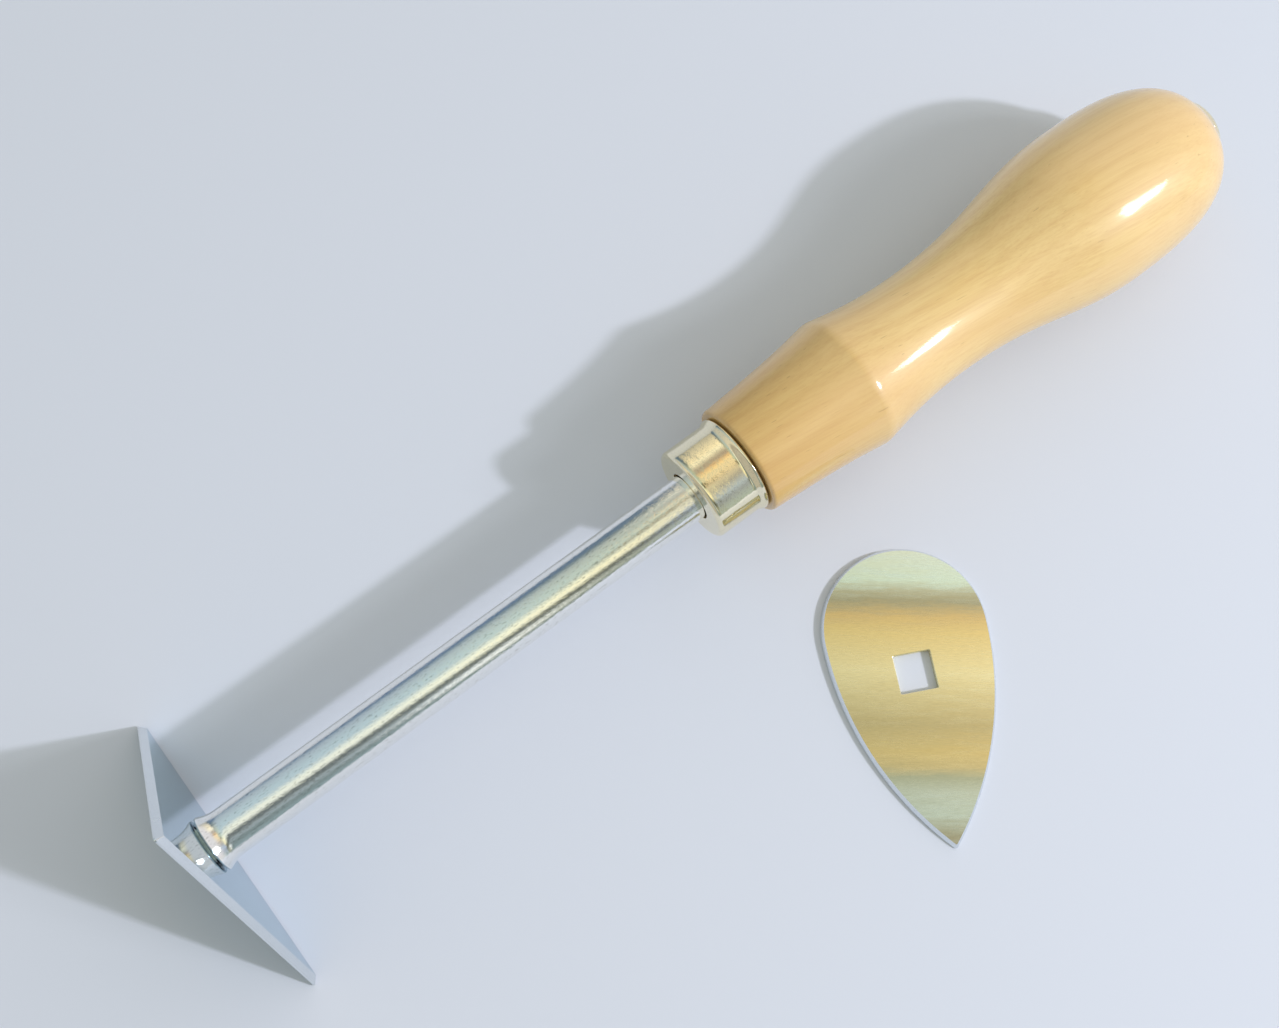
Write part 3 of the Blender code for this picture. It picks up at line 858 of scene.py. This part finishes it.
@dataclass
class GroundBlade:
    """A flat blade with a square hole, a narrow land at its cutting face and a ground bevel."""

    faces: Material
    bevel: Material
    thickness: float = 1.5 * MM
    land: float = 0.3 * MM
    hole_side: float = 8.0 * MM
    hole_corner: float = 0.25 * MM
    hole_easing: float = 0.16 * MM

    def show(
        self, name: str, outer: list[Vector], inner: list[Vector], place: Matrix, body: Body
    ) -> Object:
        """Makes the blade from the outlines of its cutting face and of its other face.

        Args:
            name: The name of its CAD node.
            outer: The outline at the cutting face, flat about the hole's centre.
            inner: The outline at the other face, with as many points.
            place: Where the blade goes in the frame.
            body: The body it rides on.

        Returns:
            The piece.
        """
        shape = bmesh.new()
        cutting = self.ring(shape, outer, 0.0)
        land = self.ring(shape, outer, self.land)
        back = self.ring(shape, inner, self.thickness)
        walls = bmesh.ops.bridge_loops(shape, edges=cutting + land)["faces"]
        walls += bmesh.ops.bridge_loops(shape, edges=land + back)["faces"]
        for wall in walls:
            wall.material_index = 1
        rims = [self.hole_rim(shape, height) for height in (0.0, self.thickness)]
        bmesh.ops.bridge_loops(shape, edges=rims[0] + rims[1])
        bmesh.ops.triangle_fill(shape, edges=cutting + rims[0], use_beauty=True)
        bmesh.ops.triangle_fill(shape, edges=back + rims[1], use_beauty=True)
        bmesh.ops.recalc_face_normals(shape, faces=shape.faces)
        rim_edges = [edge for rim in rims for edge in rim if edge.is_valid]
        bevel(shape, rim_edges, self.hole_easing, 2)
        bmesh.ops.transform(shape, matrix=place, verts=shape.verts)
        return show_piece(name, shape, [self.faces, self.bevel], body)

    def ring(self, shape: BMesh, outline: list[Vector], height: float) -> list[BMEdge]:
        """Adds a closed ring of edges through an outline's points, at a height, and returns it."""
        verts = [shape.verts.new((point.x, point.y, height)) for point in outline]
        return [shape.edges.new((verts[i - 1], verts[i])) for i in range(len(verts))]

    def hole_rim(self, shape: BMesh, height: float) -> list[BMEdge]:
        """Adds the square hole's rim.

        Args:
            shape: The blade's shape.
            height: How high the rim lies over the cutting face.

        Returns:
            The rim's edges.
        """
        half = self.hole_side / 2 - self.hole_corner
        outline = []
        for start in (0, 90, 180, 270):
            middle = math.radians(start + 45)
            x, y = math.cos(middle), math.sin(middle)
            centre = Vector((math.copysign(half, x), math.copysign(half, y)))
            outline += swing(centre, self.hole_corner, start, start + 90, steps=3)
        return self.ring(shape, outline, height)


@dataclass
class TriangularBlade(GroundBlade):
    """The fitted blade, an equilateral triangle that stands square to the shank."""

    corner_radius: float = 0.5 * MM
    inner_corner_radius: float = 0.2 * MM
    grind: float = 0.95 * MM

    def outline(self, inradius: float, corner_radius: float) -> list[Vector]:
        """The triangle's outline about the hole's centre, with a corner at -X.

        Args:
            inradius: How far its sides lie from the centre.
            corner_radius: Its corners' radius.

        Returns:
            The outline's points.
        """
        reach = 2 * (inradius - corner_radius)
        points = []
        for direction in (180, 300, 60):
            angle = math.radians(direction)
            centre = reach * Vector((math.cos(angle), math.sin(angle)))
            points += swing(centre, corner_radius, direction - 60, direction + 60, steps=6)
        return points

    def build(self) -> Object:
        """Makes the blade and returns the piece."""
        place = Matrix.Translation((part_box("triangular_blade")[0].x, 0, AXIS_Z))
        place @= Matrix.Rotation(math.pi / 2, 4, "Y")
        outer = self.outline(AXIS_Z, self.corner_radius)
        inner = self.outline(AXIS_Z - self.grind, self.inner_corner_radius)
        return self.show("triangular_blade", outer, inner, place, Body.FITTED_BLADE)


@dataclass
class TeardropBlade(GroundBlade):
    """The loose blade, round at one end and pointed at the other, that lies beside the tool."""

    end_radius: float = 17.8 * MM
    side_radius: float = 67.0 * MM
    tip_radius: float = 0.6 * MM
    inner_tip_radius: float = 0.2 * MM
    grind: float = 0.6 * MM
    hole_setback: float = 8.8 * MM
    centre: Vector = Vector((133.6 * MM, -54.9 * MM, 0.0))
    turn: float = math.radians(-26.2)
    band_turn: float = math.radians(-38)

    def outline(self, inset: float, tip_radius: float) -> list[Vector]:
        """The blade's outline about the hole's centre, with the tip at -Y.

        Args:
            inset: How far it lies inside the blade's widest outline.
            tip_radius: Its tip's radius.

        Returns:
            The outline's points.
        """
        end_radius = self.end_radius - inset
        side_radius = self.side_radius - inset
        offset = side_radius - end_radius
        drop = math.sqrt((side_radius - tip_radius) ** 2 - offset**2)
        lean = math.degrees(math.atan2(drop, offset))
        setback = self.hole_setback
        points = swing(Vector((0.0, setback)), end_radius, 0, 180, steps=56)
        points += swing(Vector((offset, setback)), side_radius, 180, 180 + lean, steps=26)[1:-1]
        tip = Vector((0.0, setback - drop))
        points += swing(tip, tip_radius, 180 + lean, 360 - lean, steps=6)
        points += swing(Vector((-offset, setback)), side_radius, -lean, 0, steps=26)[1:-1]
        return points

    def build(self) -> Object:
        """Makes the blade and returns the piece."""
        place = Matrix.Translation(self.centre) @ Matrix.Rotation(self.turn, 4, "Z")
        outer = self.outline(0.0, self.tip_radius)
        inner = self.outline(self.grind, self.inner_tip_radius)
        return self.show("teardrop_blade", outer, inner, place, Body.LOOSE_BLADE)


@dataclass
class ScrewAndWasher:
    """The slotted screw that holds the fitted blade, and the washer under its head."""

    steel: Material
    head_rim: float = 0.9 * MM
    head_radius: float = 4.8 * MM
    core_radius: float = 2.0 * MM
    thread_radius: float = 2.4 * MM
    thread_pitch: float = 0.8 * MM
    thread_root: float = 0.05 * MM
    flank_share: float = 0.42
    crest_share: float = 0.08
    point_chamfer: float = 0.6 * MM
    length: float = 12.0 * MM
    slot_width: float = 1.2 * MM
    slot_depth: float = 1.5 * MM
    washer_bore_radius: float = 2.7 * MM
    screw_round: float = 0.18 * MM
    washer_round: float = 0.14 * MM
    thread_steps: int = 36
    steps: int = 72

    def build_screw(self) -> Object:
        """Turns the screw, winds its thread, cuts its slot and returns the piece."""
        low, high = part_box("blade_screw")
        seat_x = high.x - self.length
        dome = seat_x - self.head_rim - low.x
        point = self.point_chamfer / 2
        pen = Profile(low.x, 0.0)
        pen.arc((seat_x - self.head_rim, 0.0), -90, steps=14, squash=dome / self.head_radius)
        pen.line(seat_x, self.head_radius).line(seat_x, self.core_radius)
        pen.line(high.x - point, self.core_radius)
        pen.line(high.x, self.core_radius - point).line(high.x, 0.0)
        shape = pen.turned(self.steps, closed=False)
        ease_edges(shape, self.screw_round, 2, least_angle=40)
        self.cut_slot(shape, low.x)
        self.wind_thread(shape, seat_x + self.thread_pitch / 2, high.x - self.point_chamfer)
        return show_piece("blade_screw", shape, [self.steel], Body.SCREW)

    def cut_slot(self, shape: BMesh, front_x: float) -> None:
        """Mills the driver's slot straight across the head.

        Args:
            shape: The screw's shape.
            front_x: The station of the dome's top.
        """
        floor_x = front_x + self.slot_depth
        half = self.slot_width / 2
        across, along = (0, 1, 0), (1, 0, 0)
        for point, normal in (
            ((0, -half, AXIS_Z), across),
            ((0, half, AXIS_Z), across),
            ((floor_x, 0, 0), along),
        ):
            parts = shape.verts[:] + shape.edges[:] + shape.faces[:]
            bmesh.ops.bisect_plane(
                shape, geom=parts, plane_co=point, plane_no=normal, dist=MEETING_SLACK
            )
        middles = [(face, face.calc_center_median()) for face in shape.faces]
        strip = [face for face, middle in middles if abs(middle.y) < half and middle.x < floor_x]
        bmesh.ops.delete(shape, geom=strip, context="FACES")
        rim = [edge for edge in shape.edges if len(edge.link_faces) == 1]
        walls = [e for e in rim if any(v.co.x < floor_x - MEETING_SLACK for v in e.verts)]
        for side in (-half, half):
            top = [e for e in walls if all(abs(v.co.y - side) < MEETING_SLACK for v in e.verts)]
            low_verts = {v for e in top for v in e.verts if abs(v.co.x - floor_x) < MEETING_SLACK}
            ends = sorted(low_verts, key=lambda vert: vert.co.z)
            if len(ends) == 2:
                closing = shape.edges.new((ends[0], ends[-1]))
                bmesh.ops.contextual_create(shape, geom=top + [closing])
        bottom = [edge for edge in shape.edges if len(edge.link_faces) == 1]
        bmesh.ops.contextual_create(shape, geom=bottom)
        bmesh.ops.recalc_face_normals(shape, faces=shape.faces)

    def wind_thread(self, shape: BMesh, from_x: float, to_x: float) -> None:
        """Winds the thread's ridge round the core as a closed helix.

        Args:
            shape: The screw's shape.
            from_x: The station where the thread starts.
            to_x: The station where it ends.
        """
        turns = int((to_x - from_x) / self.thread_pitch) - 1
        root = self.core_radius - self.thread_root
        flank = self.flank_share * self.thread_pitch
        crest = self.crest_share * self.thread_pitch
        top = self.thread_radius
        corners = [(-flank, root), (-crest, top), (crest, top), (flank, root)]
        verts = [shape.verts.new((from_x + x, 0.0, AXIS_Z + radius)) for x, radius in corners]
        face = shape.faces.new(verts)
        bmesh.ops.spin(
            shape,
            geom=[face],
            cent=AXIS_POINT,
            axis=(1, 0, 0),
            dvec=(self.thread_pitch / self.thread_steps, 0, 0),
            angle=FULL_TURN * turns,
            steps=self.thread_steps * turns,
        )
        bmesh.ops.recalc_face_normals(shape, faces=shape.faces)

    def build_washer(self) -> Object:
        """Turns the washer and returns the piece."""
        low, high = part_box("blade_washer")
        radius = (high.z - low.z) / 2
        pen = Profile(low.x, self.washer_bore_radius)
        pen.line(low.x, radius).line(high.x, radius).line(high.x, self.washer_bore_radius)
        shape = pen.turned(self.steps, closed=True)
        ease_edges(shape, self.washer_round, 2, least_angle=40)
        return show_piece("blade_washer", shape, [self.steel], Body.FITTED_BLADE)


def direction(azimuth: float, elevation: float) -> Vector:
    """The unit vector at an azimuth from +X and an elevation, both in degrees."""
    azimuth, elevation = math.radians(azimuth), math.radians(elevation)
    level = math.cos(elevation)
    return Vector((level * math.cos(azimuth), level * math.sin(azimuth), math.sin(elevation)))


def hang(name: str, data: ID, place: Vector, away: Vector, roll: float) -> Object:
    """Adds a lamp or a camera that faces back toward the tool.

    Args:
        name: Its name.
        data: The lamp's or the camera's data.
        place: Where it is.
        away: The direction from the tool to it.
        roll: Its turn about the way that it faces, in degrees.

    Returns:
        The lamp or the camera.
    """
    holder = bpy.data.objects.new(name, data)
    bpy.context.scene.collection.objects.link(holder)
    holder.location = place
    holder.rotation_mode = "QUATERNION"
    turn = Quaternion((0, 0, 1), math.radians(roll))
    holder.rotation_quaternion = away.to_track_quat("Z", "Y") @ turn
    return holder


@dataclass(frozen=True)
class SoftBox:
    """A flat lamp that faces the tool from some way off."""

    name: str
    azimuth: float
    elevation: float
    roll: float
    distance: float
    width: float
    height: float
    radiance: float
    colour: str

    def place(self, target: Vector) -> Object:
        """Hangs the lamp.

        Args:
            target: The point that it faces.

        Returns:
            The lamp.
        """
        lamp = bpy.data.lights.new(self.name, "AREA")
        lamp.shape = "RECTANGLE"
        lamp.size = self.width
        lamp.size_y = self.height
        lamp.energy = self.radiance * math.pi * self.width * self.height
        lamp.color = linear(self.colour)[:3]
        away = direction(self.azimuth, self.elevation)
        holder = hang(self.name, lamp, target + away * self.distance, away, self.roll)
        holder.visible_camera = False
        return holder


@dataclass(frozen=True)
class Room:
    """The light of a plain room, as bright metal shows it in bands that lie along the tool.

    The bands run from the horizon beyond the tool, over the top, to the near horizon. Over the
    blade's end the room is cool daylight, and over the handle's front lamps warm it. A stretch
    says where along the tool a colour starts to show and where it shows fully. A spot is small:
    across the bands and along the tool it has a middle, a reach, and an edge where it fades.
    """

    over_rod: Stops = (
        (0.0, "#647B98"), (0.06, "#738694"), (0.14, "#A6B4B8"), (0.2, "#B1BFBF"),
        (0.4, "#BED2CF"), (0.43, "#B7CACA"), (0.535, "#EFF3DC"), (0.585, "#FFFEE2"),
        (0.64, "#EDF0DA"), (0.685, "#5F6560"), (0.735, "#666D68"), (0.79, "#9AA49F"),
        (0.85, "#A3AFAB"), (0.9, "#76847F"), (1.0, "#91A29E"),
    )
    over_handle: Stops = (
        (0.0, "#B4B2A8"), (0.2, "#FBF0D2"), (0.26, "#FCF6DE"), (0.335, "#B2A698"),
        (0.37, "#B5A594"), (0.4, "#DDBD93"), (0.44, "#FBE0AC"), (0.475, "#EEDDB8"),
        (0.54, "#EEDDB8"), (0.68, "#AAA9A5"), (0.785, "#B2C2D6"), (0.85, "#A1ABB8"),
        (1.0, "#AEBEBE"),
    )
    handle_stretch: Pair = (0.207, 0.228)
    streak: str = "#F6FAF6"
    streak_spot: tuple[Triple, Triple] = ((0.842, 0.045, 0.022), (0.055, 0.03, 0.04))
    seam: str = "#6E6656"
    seam_spot: tuple[Triple, Triple] = ((0.432, 0.026, 0.018), (0.2, 0.025, 0.02))
    blade_shade: str = "#F0F3FF"
    blade_stretch: Pair = (0.05, -0.02)
    lamp_tint: str = "#FFF7E6"
    lamp_stretch: Pair = (0.05, 0.15)
    far_wall: str = "#DBDADC"
    far_stretch: Pair = (0.34, 0.5)
    near_wall: str = "#C9C0B4"
    near_stretch: Pair = (-0.2, -0.35)
    near_share: float = 0.65
    slant: float = 0.6
    strength: float = 1.1
    backdrop: str = "#E3E7EE"

    def build(self) -> None:
        """Makes the world that lights the scene, plain where the camera looks straight into it."""
        world = bpy.data.worlds.new("room")
        world.use_nodes = True
        tree = world.node_tree
        tree.nodes.clear()
        way = add_node(tree, "TexCoord").outputs["Generated"]
        parts = add_node(tree, "SeparateXYZ", {0: way})
        along = parts.outputs["X"]
        height = add_node(tree, "Math", {0: parts.outputs["Z"]}, operation="ABSOLUTE")
        angle = add_node(tree, "Math", {0: height, 1: parts.outputs["Y"]}, operation="ARCTAN2")
        over = add_node(tree, "Math", {0: angle, 1: math.pi}, operation="DIVIDE")
        lean = {0: along, 1: -self.slant, 2: over}
        slanted = add_node(tree, "Math", lean, operation="MULTIPLY_ADD")
        cool = add_node(tree, "ValToRGB", {0: slanted}, self.over_rod)
        warm = add_node(tree, "ValToRGB", {0: over}, self.over_handle)
        streak_share = self.share_of_spot(tree, (slanted, along), self.streak_spot)
        seam_share = self.share_of_spot(tree, (slanted, along), self.seam_spot)
        mix = {"Fac": streak_share, "Color1": cool, "Color2": self.streak}
        room = add_node(tree, "MixRGB", mix)
        for colour, stretch in (
            (self.blade_shade, self.blade_stretch),
            (self.lamp_tint, self.lamp_stretch),
        ):
            room = lay_over(tree, room, colour, along, stretch, blend="MULTIPLY")
        mix = {"Fac": seam_share, "Color1": room, "Color2": self.seam}
        room = add_node(tree, "MixRGB", mix, blend_type="MULTIPLY")
        for colour, stretch, share in (
            (warm, self.handle_stretch, 1.0),
            (self.far_wall, self.far_stretch, 1.0),
            (self.near_wall, self.near_stretch, self.near_share),
        ):
            room = lay_over(tree, room, colour, along, stretch, share)
        fill = add_node(tree, "Background", {"Color": room, "Strength": self.strength})
        behind = add_node(tree, "Background", {"Color": self.backdrop, "Strength": 1.0})
        seen = add_node(tree, "LightPath").outputs["Is Camera Ray"]
        both = add_node(tree, "MixShader", {0: seen, 1: fill, 2: behind})
        add_node(tree, "OutputWorld", {"Surface": both})
        bpy.context.scene.world = world

    def share_of_spot(
        self,
        tree: NodeTree,
        places: tuple[Node | NodeSocket, Node | NodeSocket],
        spot: tuple[Triple, Triple],
    ) -> Node:
        """A share that is 1 in a small part of the room and falls to 0 beside it.

        Args:
            tree: The world's node tree.
            places: A direction's place across the bands and along the tool.
            spot: The middle, the reach and the fading edge of the part, across and along.

        Returns:
            The share's node.
        """
        share: Node | float = 1.0
        for place, (middle, reach, edge) in zip(places, spot):
            offset = add_node(tree, "Math", {0: place, 1: middle}, operation="SUBTRACT")
            distance = add_node(tree, "Math", {0: offset}, operation="ABSOLUTE")
            fall = {"From Min": reach + edge, "From Max": reach, "To Max": share}
            share = add_node(tree, "MapRange", {"Value": distance, **fall})
        return share


@dataclass
class Studio:
    """The pale floor, the lamps and the camera."""

    target: Vector = Vector((130 * MM, -10 * MM, 15 * MM))
    floor_colour: str = "#D3DAE6"
    floor_roughness: float = 0.9
    floor_size: float = 6.0
    floor_gap: float = 0.02 * MM
    camera_place: Vector = Vector((46.9 * MM, -51.8 * MM, 320.5 * MM))
    camera_azimuth: float = -136.5
    camera_elevation: float = 75.2
    camera_roll: float = 9.6
    camera_lens: float = 43.97
    camera_sensor: float = 36.0
    camera_reach: Pair = (0.01, 20.0)

    def lay_floor(self) -> None:
        """Lays the floor just under the tool."""
        shape = bmesh.new()
        bmesh.ops.create_grid(shape, x_segments=1, y_segments=1, size=self.floor_size / 2)
        bmesh.ops.translate(shape, vec=(0, 0, -self.floor_gap), verts=shape.verts)
        mesh = bpy.data.meshes.new("floor")
        shape.to_mesh(mesh)
        shape.free()
        material, _, shader = new_material("matt_pale_paper")
        feed(shader, {"Base Color": self.floor_colour, "Roughness": self.floor_roughness})
        mesh.materials.append(material)
        floor = bpy.data.objects.new("floor", mesh)
        bpy.context.scene.collection.objects.link(floor)

    def hang_lamps(self) -> None:
        """Hangs the soft box that the lacquer mirrors and the small lamp that casts the shadows."""
        broad = {"width": 0.16, "height": 0.34, "radiance": 17.0, "colour": "#FFFFFF"}
        soft_box = SoftBox("soft_box", azimuth=-46, elevation=38, roll=29, distance=1.3, **broad)
        small = {"width": 0.05, "height": 0.05, "radiance": 1040.0, "colour": "#F5F3FF"}
        bare_lamp = SoftBox("bare_lamp", azimuth=-50, elevation=36, roll=0, distance=1.25, **small)
        for lamp in (soft_box, bare_lamp):
            lamp.place(self.target)

    def set_camera(self) -> None:
        """Sets the camera where the photograph was taken from."""
        eye = bpy.data.cameras.new("camera")
        eye.lens = self.camera_lens
        eye.sensor_width = self.camera_sensor
        eye.clip_start, eye.clip_end = self.camera_reach
        back = direction(self.camera_azimuth, self.camera_elevation)
        camera = hang("camera", eye, self.camera_place, back, self.camera_roll)
        bpy.context.scene.camera = camera

    def build(self) -> None:
        """Sets up floor, light and camera."""
        bpy.context.scene.view_settings.view_transform = "Standard"
        self.lay_floor()
        Room().build()
        self.hang_lamps()
        self.set_camera()


def main() -> None:
    """Builds the studio and every piece."""
    logging.basicConfig(level=logging.INFO, format="%(name)s: %(message)s")
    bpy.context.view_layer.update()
    wood = LacqueredBeech().material()
    # Cold drawing leaves marks along the rod, which break its reflections up into short dashes.
    rod = BrightSteel(
        "nickel_plated_drawn_rod", lay=Lay.ALONG, fleck_relief=0.024 * MM
    ).material()
    # Deep drawing leaves a thin cup a little uneven, so its warm reflections waver.
    cup = BrightSteel(
        "nickel_plated_drawn_cup",
        bright="#F6EDCF",
        dull="#DDD4C0",
        ripple=1.3 * MM,
        ripple_relief=0.014 * MM,
    ).material()
    # Zinc plate is grey and soft, with hardly a reflection.
    zinc = BrightSteel(
        "zinc_plated_screw_steel",
        bright="#CDD0D4",
        dull="#A9ACAF",
        least_roughness=0.24,
        most_roughness=0.36,
    ).material()
    teardrop_steel = SatinBladeSteel(TeardropBlade.centre, TeardropBlade.band_turn).material()
    # Polished flat after rolling, the triangle's faces mirror what is round them, with little wave.
    # Their teal base colour is a painted reflection, the blue of a floor that they would mirror.
    triangle_steel = BrightSteel(
        "polished_blade_steel_painted_teal_reflection",
        # Painted reflection: a teal tint in the base colour.
        bright="#A5BDC9",
        dull="#9AB2BF",
        ripple_relief=0.002 * MM,
        fleck_relief=0.0015 * MM,
        least_roughness=0.05,
    ).material()
    # The grindstone leaves the bevels flat and pale, and finely frosted.
    bevel_steel = BrightSteel(
        "ground_bevel_steel",
        bright="#E2E7EA",
        dull="#D3D9DD",
        ripple_relief=0.002 * MM,
        fleck_relief=0.002 * MM,
        least_roughness=0.2,
        most_roughness=0.28,
    ).material()
    Studio().build()
    Handle(wood).build()
    ButtNut(cup).build()
    Ferrule(cup).build()
    Shank(rod).build()
    TriangularBlade(triangle_steel, bevel_steel).build()
    TeardropBlade(teardrop_steel, bevel_steel).build()
    hardware = ScrewAndWasher(zinc)
    hardware.build_screw()
    hardware.build_washer()


if __name__ == "__main__":
    main()
